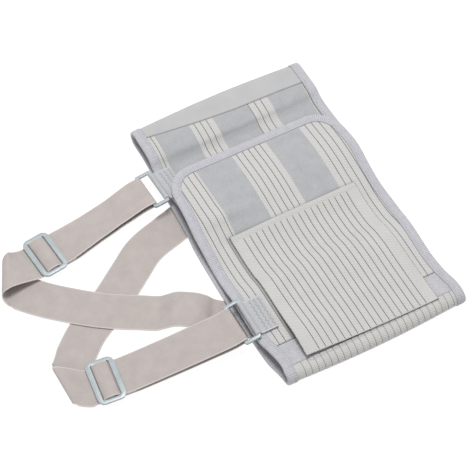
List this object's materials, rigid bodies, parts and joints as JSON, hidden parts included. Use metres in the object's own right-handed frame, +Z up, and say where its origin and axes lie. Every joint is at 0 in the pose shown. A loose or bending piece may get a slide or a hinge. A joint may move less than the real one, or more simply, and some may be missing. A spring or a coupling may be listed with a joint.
{
  "type": "rib belt",
  "caption": "Wide elastic rib belt lying folded flat, with webbing shoulder straps run through moulded sliders and rings.",
  "frame": {"origin": "on the surface that the belt lies on, below the middle of its bounding box", "axes": "+X from the shoulder straps across the belt to its free edge, +Y from the near fold to the far fold, +Z up from the surface through the folded layers"},
  "size_m": [0.4954, 0.4274, 0.0308],
  "materials": {
    "loop_cloth": "brushed loop pile with sewn lines",
    "ribbed_elastic": "ribbed elastic",
    "plain_elastic": "plain fine elastic",
    "binding_cloth": "soft knitted tape",
    "strap_webbing": "fine ribbed webbing",
    "tab_webbing": "stitched webbing",
    "moulded_plastic": "smooth moulded"
  },
  "bodies": {
    "root": {"front_left_panel": "loop_cloth", "far_band": "plain_elastic", "back_panel": "loop_cloth", "side_elastic": "ribbed_elastic", "side_patch": "binding_cloth", "front_right_panel": "loop_cloth", "edge_binding": "binding_cloth", "tension_panel": "ribbed_elastic", "tab_far": "tab_webbing", "ring_far": "moulded_plastic", "slider_far": "moulded_plastic", "strap_far": "strap_webbing", "tab_near": "tab_webbing", "ring_near": "moulded_plastic", "slider_near": "moulded_plastic", "strap_near": "strap_webbing"}
  },
  "joints": []
}
